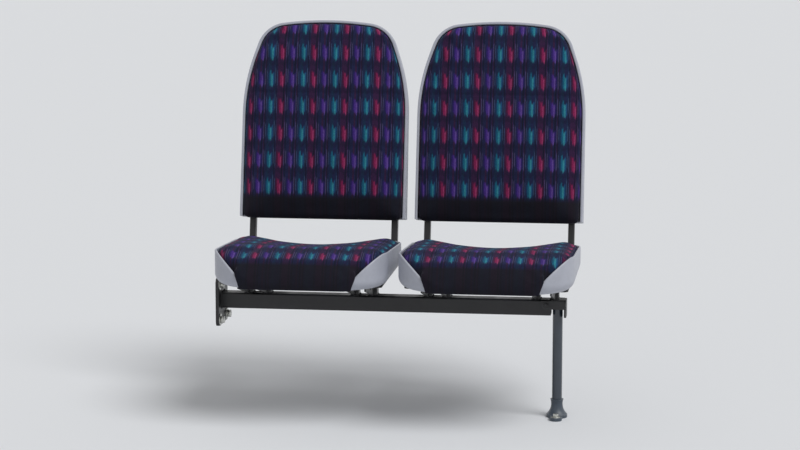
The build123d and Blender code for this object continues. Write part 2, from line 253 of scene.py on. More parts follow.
grain = grain_group()
grime = grime_group()
print("shared effects", grain.name, "and", grime.name)

# %% [markdown]
# Rigid finishes
#
# The shells are pale grey moulded plastic with a fine spark-eroded grain. Beam, carriers and
# leg head have black powder coat, which shows orange peel and wears to grey on its edges.
# The leg has a glossy blue-grey paint, and its foot a duller one over a rough casting.
# One recipe makes them all: colour, drift, grime, worn edges, roughness and bump. On the
# shell the worn edges are lighter and also stand for a painted highlight.

# %% Recipe for a rigid finish
DRIFT_RANGE = (0.3, 0.7)
DRIFT_SHARE = 0.16
DRIFT_DARKER = 0.72
DRIFT_DULLER = 0.08
GRAIN_STRENGTH = 0.6


def new_material(name, **sockets):
    """A material with its Principled shader; constants are set on the shader's own sockets."""
    material = bpy.data.materials.new(name)
    material.use_nodes = True
    tree = material.node_tree
    shader = tree.nodes["Principled BSDF"].inputs
    for label, value in sockets.items():
        shader[label.replace("_", " ")].default_value = value
    return material, tree, shader


def rigid_finish(
    name, colour, worn, dirt, fineness, bump, wear, width, dirtiness, gloss, **sockets
):
    """`gloss` is the roughness where clean and where dirty, `bump` the grain's height in metres."""
    material, tree, shader = new_material(name, **sockets)
    texture = use(tree, grain, Fineness=fineness)
    wear_and_highlight_mask = use(tree, edge_wear_and_highlight, Width=width, Amount=wear)["Mask"]
    dirt_mask = use(tree, grime, Amount=dirtiness)["Mask"]
    drift = spread(tree, texture["Drift"], *DRIFT_RANGE, 0.0, DRIFT_SHARE)
    darker = tuple(DRIFT_DARKER * value for value in colour[:3]) + (1.0,)
    tone = blend(tree, drift, colour, darker)
    tone = blend(tree, dirt_mask, tone, dirt)
    # worn edges: rubbed paint and plastic; on the pale shell, whose worn colour is lighter, also a
    # painted highlight
    tone = blend(tree, wear_and_highlight_mask, tone, worn)
    tree.links.new(tone, shader["Base Color"])
    clean, dirty = gloss
    uneven = spread(tree, texture["Drift"], *DRIFT_RANGE, clean, clean + DRIFT_DULLER)
    rough = calc(tree, "MULTIPLY_ADD", dirt_mask, dirty - clean, uneven)
    tree.links.new(rough, shader["Roughness"])
    relief = {"Strength": GRAIN_STRENGTH, "Distance": bump, "Height": texture["Height"]}
    tree.links.new(add(tree, "Bump", relief).outputs[0], shader["Normal"])
    return material


print("recipe", rigid_finish.__name__, "built on", new_material.__name__)

# %% [markdown]
# The six rigid finishes
#
# Each call is one real surface: its colour, its colour where worn and where dirty. On the shell
# the worn colour is lighter than the plastic, so its rubbed edges are also a painted highlight.
# The grain's fineness is in pebbles per metre and its height in metres, so a moulding, a sprayed
# coat and a casting differ as they do by touch. The leg alone has a clear gloss on top, which
# gives it bright streaks along its edges. Floor, wall and scoop bolts are zinc plated, so they
# are nearly all metal.

# %% The rigid finishes
# the lighter worn colour paints a highlight on the shell's edges as well as rubbed wear
shell_plastic = rigid_finish(
    "shell_plastic", paint(170, 173, 184), paint(200, 202, 209), paint(112, 112, 120),
    fineness=900, bump=0.0002, wear=0.5, width=0.002, dirtiness=0.35, gloss=(0.38, 0.62),
)
black_powder_coat = rigid_finish(
    "black_powder_coat", paint(25, 25, 28), paint(92, 92, 94), paint(62, 60, 60),
    fineness=420, bump=0.00025, wear=0.6, width=0.0015, dirtiness=0.45, gloss=(0.36, 0.7),
)
black_cap_plastic = rigid_finish(
    "black_cap_plastic", paint(20, 20, 22), paint(60, 60, 62), paint(58, 57, 58),
    fineness=1100, bump=0.0002, wear=0.4, width=0.001, dirtiness=0.4, gloss=(0.45, 0.7),
)
leg_paint = rigid_finish(
    "leg_paint", paint(46, 55, 66), paint(126, 133, 141), paint(84, 88, 93),
    fineness=260, bump=0.00006, wear=0.5, width=0.001, dirtiness=0.3, gloss=(0.16, 0.5),
    Coat_Weight=0.5, Coat_Roughness=0.08,
)
foot_paint = rigid_finish(
    "foot_paint", paint(62, 72, 84), paint(136, 141, 147), paint(86, 88, 91),
    fineness=330, bump=0.0005, wear=0.8, width=0.0025, dirtiness=0.6, gloss=(0.34, 0.65),
)
bolt_zinc = rigid_finish(
    "bolt_zinc", paint(196, 197, 192), paint(225, 226, 224), paint(110, 104, 96),
    fineness=800, bump=0.0001, wear=0.6, width=0.0008, dirtiness=0.4, gloss=(0.26, 0.6),
    Metallic=0.9,
)
for finish in (
    shell_plastic, black_powder_coat, black_cap_plastic, leg_paint, foot_paint, bolt_zinc,
):
    print("finish", finish.name, "with", len(finish.node_tree.nodes), "nodes")

# %% [markdown]
# Finishes for the CAD nodes
#
# A CAD node whose shape is right stays as it is. Only its finish changes, by giving its
# object a new material. The record names a slot for each node, and each slot has one finish,
# so the table from the node's name holds both; only the finish is used here.

# %% Dress the CAD nodes
DRESS = {
    "back_shell": (shell_plastic, "shell_grey"),
    "seat_shell": (shell_plastic, "shell_grey"),
    "seat_carrier": (black_powder_coat, "frame_black"),
    "back_upright": (black_powder_coat, "frame_black"),
    "cross_beam": (black_powder_coat, "frame_black"),
    "wall_plate": (black_powder_coat, "frame_black"),
    "leg_head": (black_powder_coat, "frame_black"),
    "leg_tube": (leg_paint, "leg_grey"),
    "leg_foot": (foot_paint, "foot_grey"),
}

dressed = 0
for node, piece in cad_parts.items():
    for start, (finish, slot) in DRESS.items():
        if node.startswith(start):
            piece.data.materials.clear()
            piece.data.materials.append(finish)
            dressed += 1
print("dressed", dressed, "of", len(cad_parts), "nodes; the rest are pads")

# %% [markdown]
# The yarns of the moquette
#
# Bus seats wear moquette, a short wool pile woven on a loom. This pattern is the common kind
# of upright dashes: clusters of teal, crimson and purple strokes with thin grey lines between
# them on a near-black ground. A weaver picks the yarns first, and so does this script. The
# last colour is no yarn of the cloth: it is painted shade, a neutral near-black for the lower
# edges of the backs and the fronts of the noses.

# %% Yarns
YARNS = {
    "teal_deep": paint(22, 58, 90),
    "teal": paint(24, 92, 118),
    "turquoise": paint(48, 124, 140),
    "sea": paint(32, 76, 116),
    "steel": paint(54, 68, 100),
    "wine": paint(80, 23, 56),
    "crimson": paint(124, 32, 76),
    "rose": paint(146, 54, 96),
    "indigo": paint(44, 30, 94),
    "violet": paint(66, 43, 122),
    "orchid": paint(90, 66, 138),
    "lilac": paint(70, 64, 102),
    "navy": paint(30, 34, 66),
    "plum": paint(49, 28, 59),
    "pine": paint(25, 41, 67),
    "night": paint(21, 22, 42),
    # painted shade, not a yarn of the cloth: the neutral near-black of the shaded lower edges
    "shade_painted": paint(23, 22, 26),
}
print("yarns", len(YARNS))

# %% [markdown]
# The strips of one repeat
#
# A loom draws the pattern as strips of a few millimetres, side by side, and starts again after
# one repeat. So the table holds one strip per line: its width in mm, the yarn of its stroke,
# where the stroke starts and ends, its ground yarn, and the middle of a darker band. Starts,
# ends and bands are shares of the repeat's height. A picture of the cloth would show it too,
# but strips stay sharp at any distance and follow the pads' own map.

# %% Strips of one repeat
REPEAT_ACROSS = 0.083
REPEAT_UP = 0.0695

Strip = namedtuple("Strip", "width yarn starts ends ground band")
STRIPS = [Strip(*line) for line in (
    (1.9, None, 0.0, 0.0, "navy", 0.10),
    (3.4, "teal_deep", 0.34, 0.76, "pine", 0.16),
    (3.9, "teal", 0.26, 0.86, "pine", 0.08),
    (3.9, "turquoise", 0.22, 0.72, "navy", 0.05),
    (3.3, "sea", 0.30, 0.80, "navy", 0.12),
    (2.0, None, 0.0, 0.0, "pine", 0.15),
    (1.9, "steel", 0.36, 0.96, "navy", 0.18),
    (2.1, None, 0.0, 0.0, "night", 0.10),
    (1.8, "steel", 0.24, 0.84, "navy", 0.04),
    (2.8, None, 0.0, 0.0, "plum", 0.09),
    (3.3, "wine", 0.38, 0.84, "plum", 0.17),
    (4.1, "crimson", 0.26, 0.80, "plum", 0.12),
    (3.4, "rose", 0.22, 0.66, "plum", 0.06),
    (2.9, "wine", 0.32, 0.72, "night", 0.10),
    (2.1, None, 0.0, 0.0, "plum", 0.16),
    (1.9, "lilac", 0.30, 0.94, "navy", 0.14),
    (2.3, None, 0.0, 0.0, "night", 0.08),
    (1.8, "lilac", 0.38, 0.90, "navy", 0.18),
    (2.9, None, 0.0, 0.0, "navy", 0.12),
    (3.3, "indigo", 0.36, 0.84, "navy", 0.16),
    (4.0, "violet", 0.28, 0.80, "plum", 0.10),
    (3.6, "orchid", 0.22, 0.70, "navy", 0.05),
    (3.1, "indigo", 0.32, 0.76, "night", 0.11),
    (2.2, None, 0.0, 0.0, "navy", 0.17),
    (1.9, "lilac", 0.26, 0.92, "plum", 0.15),
    (2.4, None, 0.0, 0.0, "night", 0.09),
    (1.8, "steel", 0.34, 0.86, "navy", 0.04),
)]
strips_wide = sum(strip.width for strip in STRIPS)
print("strips", len(STRIPS), "over", round(strips_wide, 1), "mm, woven to", 1000 * REPEAT_ACROSS)

# %% [markdown]
# Reading the strips
#
# A colour ramp with constant steps turns the place across the cloth into the yarn of the strip
# there. The same ramp carries numbers too: its red, green and blue can hold where a stroke
# starts and ends and where the dark band lies. Threads are 1.2 mm apart and tufts 2.2 mm long,
# and each gets its own chance value, which makes the weave uneven.

# %% Ramps and threads
THREAD = 0.0012
TUFT = 0.0022


def strip_ramp(tree, across, colour_of):
    """A constant ramp over the repeat's width, one step for each strip."""
    ramp = add(tree, "ValToRGB", {0: across})
    ramp.color_ramp.interpolation = "CONSTANT"
    steps = ramp.color_ramp.elements
    steps.remove(steps[1])
    start = 0.0
    for strip in STRIPS:
        step = steps.new(start / strips_wide) if start else steps[0]
        step.color = colour_of(strip)
        start += strip.width
    return ramp.outputs[0]


def counted(tree, length, step, part="FLOOR"):
    """The number of whole steps in a length, or with FRACT the part of a step that is left."""
    return calc(tree, part, calc(tree, "DIVIDE", length, step))


def chance(tree, column, row):
    """A random value from 0 to 1, the same all over one cell of the cloth."""
    cell = add(tree, "CombineXYZ", {0: column, 1: row}).outputs[0]
    return add(tree, "TexWhiteNoise", {"Vector": cell}, noise_dimensions="2D").outputs["Value"]


print("threads in a repeat", round(REPEAT_ACROSS / THREAD), "tufts", round(REPEAT_UP / TUFT))

# %% [markdown]
# The woven colour
#
# A stroke has frayed ends, because each thread's pile starts a little higher or lower. The
# ground between the rows of strokes darkens in a soft band. On the lower edge of each back and
# down the front of each nose a point attribute paints shade: there it hides the strokes and
# turns the ground to a neutral near-black.

# %% Woven colour
RAGGED = 0.07
FRAY = (-0.02, 0.06)
STROKE_COVER = 0.92
BAND_EDGE = 0.11
BAND_CORE = 0.05
BAND_COVER = 0.4
# how far the painted shade turns the ground near-black
PAINTED_SHADE_COVER = 0.85


def stroke_and_band(tree, across, up, painted_shade):
    """Two masks: where a stroke lies, and where the ground is darker."""
    ends = strip_ramp(tree, across, lambda strip: (strip.starts, strip.ends, strip.band, 1))
    starts, stops, band = add(tree, "SeparateColor", {0: ends}).outputs
    above_start = spread(tree, calc(tree, "SUBTRACT", up, starts), *FRAY)
    below_end = spread(tree, calc(tree, "SUBTRACT", stops, up), *FRAY)
    stroke = calc(tree, "MULTIPLY", above_start, below_end)
    # painted shade hides the strokes
    stroke = calc(tree, "MULTIPLY", stroke, spread(tree, painted_shade, 0, 1, STROKE_COVER, 0.0))
    from_band = calc(tree, "ABSOLUTE", calc(tree, "SUBTRACT", up, band))
    return stroke, spread(tree, from_band, BAND_EDGE, BAND_CORE, 0.0, BAND_COVER)


def woven_colour(tree, place, thread):
    """The yarn that shows at each place of the cloth, with painted shade on the lower edges."""
    # a point attribute that says where shade is painted on the cloth, from 0 to 1
    painted_shade = add(tree, "Attribute", attribute_name="painted_shade").outputs["Fac"]
    across = counted(tree, place["X"], REPEAT_ACROSS, "FRACT")
    up = counted(tree, place["Y"], REPEAT_UP, "FRACT")
    ragged = chance(tree, thread, counted(tree, place["Y"], REPEAT_UP))
    up = calc(tree, "MULTIPLY_ADD", ragged, RAGGED, calc(tree, "SUBTRACT", up, RAGGED / 2))
    stroke, band = stroke_and_band(tree, across, up, painted_shade)
    stroke_yarn = strip_ramp(tree, across, lambda strip: YARNS[strip.yarn or strip.ground])
    ground_yarn = strip_ramp(tree, across, lambda strip: YARNS[strip.ground])
    tone = blend(tree, band, ground_yarn, YARNS["night"])
    tone = blend(tree, stroke, tone, stroke_yarn)
    # painted shade: the ground turns a neutral near-black
    return blend(tree, calc(tree, "MULTIPLY", painted_shade, PAINTED_SHADE_COVER), tone, YARNS["shade_painted"])


print("ends of the strokes jump by up to", round(1000 * RAGGED * REPEAT_UP, 1), "mm")

# %% [markdown]
# Moquette
#
# The material reads the pads' own map, which is in metres of cloth and not of the room, so the
# pattern follows the cushion. Over the woven colour come the speckle of single tufts and the
# worn, lighter patches. The pile is rough and hardly shines, with a weak sheen for the fibre
# tips that stand up, and the bump has the ribs of the weave and the fluff on them.

# %% Moquette
WORN = (0.86, 1.14)
SPECKLE = (0.78, 1.22)
PILE_ROUGHNESS = (0.78, 0.96)
RIB_SHARE = 0.25
PILE_HEIGHT = 0.0006
PILE_STRENGTH = 0.7


def moquette_material():
    """Wool moquette on the pad's own map."""
    material, tree, shader = new_material(
        "moquette", Sheen_Weight=0.1, Sheen_Roughness=0.45, Sheen_Tint=(0.62, 0.64, 0.8, 1.0),
        Specular_IOR_Level=0.12,
    )
    cloth = add(tree, "UVMap", uv_map="cloth_metres").outputs[0]
    place = add(tree, "SeparateXYZ", {0: cloth}).outputs
    thread = counted(tree, place["X"], THREAD)
    speckle = chance(tree, thread, counted(tree, place["Y"], TUFT))
    tone = woven_colour(tree, place, thread)

    patches = noise(tree, cloth, scale=14, detail=5, roughness=0.6)
    worn = spread(tree, patches, 0.3, 0.7, *WORN)
    shade = calc(tree, "MULTIPLY", worn, spread(tree, speckle, 0, 1, *SPECKLE))
    grey = add(tree, "CombineColor", {0: shade, 1: shade, 2: shade}).outputs[0]
    tree.links.new(blend(tree, 1.0, tone, grey, "MULTIPLY"), shader["Base Color"])
    tree.links.new(spread(tree, speckle, 0, 1, *PILE_ROUGHNESS), shader["Roughness"])

    ribs = calc(tree, "SINE", calc(tree, "MULTIPLY", place["X"], 2 * math.pi / THREAD))
    fluff = noise(tree, cloth, scale=1100, detail=2, roughness=0.6)
    pile = calc(tree, "MULTIPLY_ADD", ribs, RIB_SHARE, fluff)
    relief = {"Strength": PILE_STRENGTH, "Distance": PILE_HEIGHT, "Height": pile}
    tree.links.new(add(tree, "Bump", relief).outputs[0], shader["Normal"])
    return material


moquette = moquette_material()
print("moquette has", len(moquette.node_tree.nodes), "nodes")

# %% [markdown]
# The two places
#
# The seat has a place at the aisle and one at the window, and most pieces come once for each,
# or once for each hand of each. The middle of a place is read from its scoop, so a change in
# the CAD model carries through to this script.

# %% The two places
PLACES = ("aisle", "window")
HANDS = (("left", -1), ("right", 1))

middle_x = {}
for place in PLACES:
    low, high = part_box(f"seat_shell_{place}")
    middle_x[place] = (low.x + high.x) / 2
print("middles", {place: round(x, 4) for place, x in middle_x.items()})

# %% [markdown]
# Selecting, and modifiers
#
# An operator acts on everything that is selected, and loading the frame left the CAD nodes
# selected, so each piece starts with an empty selection. A modifier could stay live, but the
# next step often needs the points that it makes, so here it is applied at once.

# %% Selecting, and modifiers
def start_fresh():
    """Leaves edit mode and empties the selection."""
    if bpy.context.object and bpy.context.object.mode != "OBJECT":
        bpy.ops.object.mode_set(mode="OBJECT")
    bpy.ops.object.select_all(action="DESELECT")


def make_active(piece):
    """Selects one piece alone, for the operators that follow."""
    start_fresh()
    piece.select_set(True)
    bpy.context.view_layer.objects.active = piece


def apply_modifier(piece, kind, **settings):
    """Adds a modifier with its settings and applies it."""
    make_active(piece)
    bpy.ops.object.modifier_add(type=kind)
    modifier = piece.modifiers[-1]
    for name, value in settings.items():
        setattr(modifier, name, value)
    bpy.ops.object.modifier_apply(modifier=modifier.name)


start_fresh()
print("selected after a fresh start", len(bpy.context.selected_objects))

# %% [markdown]
# Points of a mesh
#
# Foam and cloth are shaped by rules that hold for thousands of points at once, such as: press
# the middle in. Pushing points by hand would take hours, so they are read into an array, moved
# by a formula and put back. Most rules come as a pair of measures, where the rule starts and
# where it is full, and fade in between them, so that no step shows.

# %% Points of a mesh
def points_of(piece):
    """One row of x, y and z for each point."""
    co = np.zeros(len(piece.data.vertices) * 3, np.float32)
    piece.data.vertices.foreach_get("co", co)
    return co.reshape(-1, 3).astype(float)


def normals_of(piece):
    """The way the surface looks at each point."""
    out = np.zeros(len(piece.data.vertices) * 3, np.float32)
    piece.data.vertex_normals.foreach_get("vector", out)
    return out.reshape(-1, 3).astype(float)


def put_points(piece, co):
    piece.data.vertices.foreach_set("co", co.astype(np.float32).ravel())
    piece.data.update()


def fade(value, none, full):
    """0 where the value is at `none` or past it, 1 at `full`, and even in between."""
    return np.clip((value - none) / (full - none), 0, 1)


print("points of the beam's mesh", len(points_of(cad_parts["cross_beam"])))

# %% [markdown]
# Copies and finished pieces
#
# What repeats is modelled once and copied, each copy with a mesh of its own. A finished piece
# has its place in its mesh and its object at the origin, as a CAD node has, so that it rides on
# the frame and the materials' Object coordinates are the same for all.

# %% Copies and finished pieces
def own_copy(model, name):
    """A copy with its own mesh, in the scene."""
    copy = bpy.data.objects.new(name, model.data.copy())
    bpy.context.scene.collection.objects.link(copy)
    return copy


def settle(piece, name, finish):
    """Moves the piece's place into its mesh, names it, gives it its finish and seats it."""
    start_fresh()
    bpy.context.view_layer.update()
    piece.data.transform(piece.matrix_world)
    piece.matrix_world = Matrix.Identity(4)
    piece.name = name
    piece.data.name = name
    piece.data.materials.clear()
    piece.data.materials.append(finish)
    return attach(piece, "root")


# %% [markdown]
# From a solid to a skin of cloth
#
# A seat pad is foam on a board with moquette pulled over it. Modelled by hand it tends to look
# like a block, so each pad starts as a copy of its CAD solid. That copy is remeshed into small
# even squares, because cloth needs even squares to fold and swell, then its edges are softened
# and it is drawn in a little, which leaves room to swell.

# %% Skin of a pad
SAME_POINT = 0.00002
SQUARE = 0.0055
SOFTEN_ROUNDS = 6
DRAWN_IN = 0.0015


def remeshed_copy(node):
    """The CAD solid as one even skin, a little smaller and with softened edges."""
    pad = own_copy(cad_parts[node], "pad_in_work")
    make_active(pad)
    bpy.ops.object.mode_set(mode="EDIT")
    bpy.ops.mesh.select_all(action="SELECT")
    bpy.ops.mesh.remove_doubles(threshold=SAME_POINT)
    bpy.ops.object.mode_set(mode="OBJECT")
    apply_modifier(pad, "REMESH", mode="VOXEL", voxel_size=SQUARE)
    apply_modifier(pad, "SMOOTH", factor=0.5, iterations=SOFTEN_ROUNDS)
    bpy.ops.object.mode_set(mode="EDIT")
    bpy.ops.mesh.select_all(action="SELECT")
    bpy.ops.transform.shrink_fatten(value=-DRAWN_IN)
    bpy.ops.object.mode_set(mode="OBJECT")
    return pad


print("skins have squares of", 1000 * SQUARE, "mm")

# %% [markdown]
# Blowing a pad up
#
# Foam presses the cover out where nothing holds it. The cloth solver does that with a little
# pressure inside: points that the shell holds are pinned, so only the free face swells and the
# cloth draws in at the edges, as on the real seat. A limit eases the furthest points back, so
# that the pad stays about as thick as its CAD solid.

# %% Swelling
PRESSURE = 4.0
SWELL_FRAMES = 20


def set_cloth(rules):
    """Light, fairly stiff cloth with air inside and no weight."""
    rules.quality = 6
    rules.mass = 0.3
    rules.tension_stiffness = 40
    rules.compression_stiffness = 40
    rules.bending_stiffness = 8
    rules.use_pressure = True
    rules.uniform_pressure_force = PRESSURE
    rules.effector_weights.gravity = 0
    rules.vertex_group_mass = "held"


def swell(pad, held, limit):
    """Blows the pad up; `held` is each point's grip from 0 to 1. Says how far it wanted to go."""
    start = points_of(pad)
    grip = pad.vertex_groups.new(name="held")
    for index in np.flatnonzero(held > 0):
        grip.add([int(index)], float(held[index]), "REPLACE")
    make_active(pad)
    bpy.ops.object.modifier_add(type="CLOTH")
    cloth = pad.modifiers[-1]
    set_cloth(cloth.settings)
    cloth.point_cache.frame_start = 1
    cloth.point_cache.frame_end = SWELL_FRAMES
    for step in range(1, SWELL_FRAMES + 1):
        bpy.context.scene.frame_set(step)
    bpy.ops.object.modifier_apply(modifier=cloth.name)
    bpy.context.scene.frame_set(1)
    moved = points_of(pad) - start
    far = np.linalg.norm(moved, axis=1)
    eased = limit * np.tanh(far / limit) / np.maximum(far, 1e-9)
    put_points(pad, start + moved * eased[:, None])
    pad.vertex_groups.clear()
    return float(far.max())


print("cloth runs for", SWELL_FRAMES, "frames")

# %% [markdown]
# The back's own axes
#
# The backs lean, so a rule such as "16 mm in front of the bead" is clumsy in the room's x, y
# and z. A back gets its own axes: across, up the slope, and forwards out of the upholstery.
# One matrix takes a place on the back to the room, and its inverse brings a pad into the axes.

# %% The back's own axes
BACK_LEAN = math.radians(12)
BACK_DEPTH = 0.076

shell_low, shell_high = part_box("back_shell_aisle")
half_place = (shell_high.x - shell_low.x) / 2
back_foot_z = shell_low.z + BACK_DEPTH * math.sin(BACK_LEAN)
up_slope = Vector((0, math.sin(BACK_LEAN), math.cos(BACK_LEAN)))
forwards = Vector((0, -math.cos(BACK_LEAN), math.sin(BACK_LEAN)))


def back_axes(place):
    """The matrix that takes (across, up the slope, forwards) on a back to the room."""
    foot = Vector((middle_x[place], shell_low.y, back_foot_z))
    turned = Matrix((Vector((1, 0, 0)), up_slope, forwards)).transposed().to_4x4()
    return Matrix.Translation(foot) @ turned


print("back's foot at", round(shell_low.y, 3), round(back_foot_z, 3))
print("half the width of a place", round(half_place, 4))

# %% [markdown]
# The low corners of a back pad
#
# Where two rounded edges meet, the remeshed copy keeps a diagonal crease that real foam would
# never hold. Smoothing the whole pad would melt its edges, so the smoothing has a vertex group:
# full strength near the two lower corners, none past 13 cm from them, and on the face only.

# %% Low corners
CORNER_REACH = (0.130, 0.065)
CORNER_FACING = (0.3, 0.8)
CORNER_ROUNDS = 80


def round_low_corners(pad):
    """Smooths the face near its two lower corners, where the rounded edges meet."""
    co = points_of(pad)
    from_side = co[:, 0].max() - abs(co[:, 0])
    from_corner = np.hypot(from_side, co[:, 1] - co[:, 1].min())
    weight = fade(from_corner, *CORNER_REACH) * fade(normals_of(pad)[:, 2], *CORNER_FACING)
    group = pad.vertex_groups.new(name="corners")
    for index in np.flatnonzero(weight):
        group.add([int(index)], float(weight[index]), "REPLACE")
    apply_modifier(
        pad, "SMOOTH", factor=0.5, iterations=CORNER_ROUNDS, vertex_group="corners"
    )
    pad.vertex_groups.clear()


print("low corners are smoothed within", 1000 * CORNER_REACH[0], "mm")

# %% [markdown]
# The shape of a back pad
#
# It sits between the pale beads with its face some 16 mm in front of them. All that lies
# behind the bead is held by the board. A flat seam crosses the face two thirds of the way up:
# the sewn cloth is drawn in there, so a soft groove shows. It could be a line in the material,
# but a groove also catches the light when seen from the side.

# %% Shape of a back pad
BOARD_GRIP = (0.005, 0.001)
BACK_SWELL = 0.007
SEAM_UP = 0.319
SEAM_WIDTH = 0.0035
SEAM_DEPTH = 0.0007


def back_pad():
    """The aisle back's pad, shaped in the back's own axes and left in them."""
    pad = remeshed_copy("back_pad_aisle")
    pad.data.transform(back_axes("aisle").inverted())
    held = fade(points_of(pad)[:, 2], *BOARD_GRIP)
    print("back pad swelled", round(1000 * swell(pad, held, BACK_SWELL), 1), "mm")
    round_low_corners(pad)
    apply_modifier(pad, "SUBSURF", levels=1, render_levels=1)
    co = points_of(pad)
    facing = np.clip(normals_of(pad)[:, 2], 0, 1)
    co[:, 2] -= SEAM_DEPTH * facing * np.exp(-(((co[:, 1] - SEAM_UP) / SEAM_WIDTH) ** 2))
    put_points(pad, co)
    return pad


back_model = back_pad()
print("back pad has", len(back_model.data.polygons), "faces")

# %% [markdown]
# Cloth on the back pads
#
# The cloth's map is flat on the face, and at the rim it carries on round the edge, so the
# strokes wrap round as woven cloth does. An unwrap by Blender would cut the cover into islands
# with visible joins. The pads' lower edges carry painted shade, which hides the strokes there.
# The window pad is cut from another part of the roll, so its strokes stand a little to one side.

# %% Back pads in place
PAD_PROUD = 0.016
BACK_PATTERN = (-0.0144, 0.317)
# painted shade along each back's lower edge: none above the first measure up the slope, full below
# the second
BACK_PAINTED_SHADE = (0.060, 0.046)
PATTERN_SHIFT = {"aisle": 0.0, "window": 0.031}


def map_cloth(pad, across, along, painted_shade, start):
    """Writes the pad's own map, in metres of cloth, and where shade is painted over the strokes."""
    # where shade is painted, from 0 to 1
    shade_painted = pad.data.attributes.new("painted_shade", "FLOAT", "POINT")
    shade_painted.data.foreach_set("value", fade(along, *painted_shade).astype(np.float32))
    layer = pad.data.uv_layers.new(name="cloth_metres")
    corner = np.zeros(len(pad.data.loops), np.int32)
    pad.data.loops.foreach_get("vertex_index", corner)
    cloth = np.stack([across[corner] - start[0], along[corner] - start[1]], 1)
    layer.data.foreach_set("uv", cloth.astype(np.float32).ravel())


def map_back(pad, start):
    """Flat across the face, then on round the edges by the depth behind the face."""
    co, normal = points_of(pad), normals_of(pad)
    behind = np.maximum(PAD_PROUD - co[:, 2], 0)
    across = co[:, 0] + normal[:, 0] * behind
    along = co[:, 1] + normal[:, 1] * behind
    map_cloth(pad, across, along, BACK_PAINTED_SHADE, start)


for place in PLACES:
    pad = own_copy(back_model, "pad")
    map_back(pad, (BACK_PATTERN[0] + PATTERN_SHIFT[place], BACK_PATTERN[1]))
    pad.data.transform(back_axes(place))
    settle(pad, f"back_cushion_{place}", moquette)
    make_active(pad)
    bpy.ops.object.shade_smooth()
    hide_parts(f"back_pad_{place}")
bpy.data.objects.remove(back_model)
print("back pads in place", len(PLACES))

# %% [markdown]
# The side line of a cushion
#
# Seen from the side, a cushion has a round nose and a top that falls to the rear, and years of
# passengers have made its middle hollow. The same line shapes the scoop's lip in the CAD
# model. The pad's rules need to know how far a point lies below that line, so it is written
# as a formula over the cushion.

# %% Side line of a cushion
NOSE_ROUND = 0.078
TOP_FALL = 0.022
DISH_DEPTH = 0.020
DISH_RADIUS = 0.95

seat_low, seat_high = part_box("seat_pad_aisle")
scoop_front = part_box("seat_shell_aisle")[0].y
nose_y = seat_low.y + NOSE_ROUND
nose_z = seat_high.z - NOSE_ROUND


def cushion_top(co):
    """Height of the falling, dished top of the CAD cushion above each point."""
    rear = ((co[:, 1] - nose_y) / (seat_high.y - nose_y)).clip(0, 1)
    across = co[:, 0] - middle_x["aisle"]
    flat = seat_high.z - TOP_FALL * rear
    dish = seat_high.z - (TOP_FALL + DISH_DEPTH) * rear + across**2 / (2 * DISH_RADIUS)
    return np.minimum(flat, dish)


print("nose turns round y", round(nose_y, 3), "z", round(nose_z, 3))

# %% [markdown]
# The shape of a cushion
#
# The scoop holds it at the sides and rear, and its round nose drops over the front of the
# scoop's floor, where the cloth is held under the board. After the cushion has swelled, a
# shallow dish is pressed into the top, and the free drop in front narrows a little towards its
# foot.

# %% Shape of a cushion
SCOOP_GRIP = (0.012, 0.022)
BOARD_FOOT_GRIP = (0.016, 0.006)
SEAT_SWELL = 0.009
PRESSED = 0.004
PRESSED_LONG = 0.6
DROP_FREE = (0.008, 0.002)
DROP_TAPER = 0.07
DROP_TAPER_FROM = 0.388


def grip_of_scoop(co):
    """How firmly scoop and board hold each point, from 0 to 1."""
    in_scoop = fade(co[:, 1] - scoop_front, *SCOOP_GRIP)
    at_sides = fade(cushion_top(co) - co[:, 2], *SCOOP_GRIP) * in_scoop
    at_foot = fade(co[:, 2] - seat_low.z, *BOARD_FOOT_GRIP)
    return np.maximum(at_sides, at_foot)


def seat_cushion():
    """The aisle cushion, shaped at its real place."""
    pad = remeshed_copy("seat_pad_aisle")
    held = grip_of_scoop(points_of(pad))
    print("cushion swelled", round(1000 * swell(pad, held, SEAT_SWELL), 1), "mm")
    co = points_of(pad)
    from_middle = co[:, 0] - middle_x["aisle"]
    side = from_middle / (0.5 * (seat_high.x - seat_low.x))
    along = (co[:, 1] - 0.5 * (seat_high.y + nose_y)) / (0.5 * (seat_high.y - nose_y))
    bowl = np.clip(1 - side**2, 0, 1) * np.clip(1 - PRESSED_LONG * along**2, 0, 1)
    co[:, 2] -= PRESSED * bowl * np.clip(normals_of(pad)[:, 2], 0, 1)
    hangs = fade(co[:, 1] - scoop_front, *DROP_FREE)
    lower = fade(co[:, 2], DROP_TAPER_FROM, seat_low.z)
    co[:, 0] -= DROP_TAPER * hangs * lower * from_middle
    put_points(pad, co)
    apply_modifier(pad, "SUBSURF", levels=1, render_levels=1)
    return pad


seat_model = seat_cushion()
print("cushion has", len(seat_model.data.polygons), "faces")

# %% [markdown]
# Cloth on the cushions
#
# The cloth runs from the rear over the top, round the nose and down the front, so the map
# measures along that line: straight on the top, by angle round the nose, straight again down
# the front. At the sides it carries on down by the depth below the top.

# %% Cushions in place
SEAT_PATTERN = (-0.007, 0.006)
# painted shade round the lower nose and down its front
SEAT_PAINTED_SHADE = (-0.056, -0.066)


def map_seat(pad, start):
    """Metres of cloth from the turn of the nose: rearwards is positive, down the front negative."""
    co, normal = points_of(pad), normals_of(pad)
    y, z = co[:, 1], co[:, 2]
    angle = np.arctan2(nose_y - y, np.maximum(z - nose_z, 1e-6))
    along = np.where(y > nose_y, y - nose_y, -NOSE_ROUND * angle)
    down_front = -(NOSE_ROUND * math.pi / 2 + nose_z - z)
    along = np.where((z < nose_z) & (y < nose_y), down_front, along)
    below = np.maximum(cushion_top(co) - z, 0)
    across = co[:, 0] - middle_x["aisle"] + np.where(y > nose_y, normal[:, 0] * below, 0)
    map_cloth(pad, across, along, SEAT_PAINTED_SHADE, start)


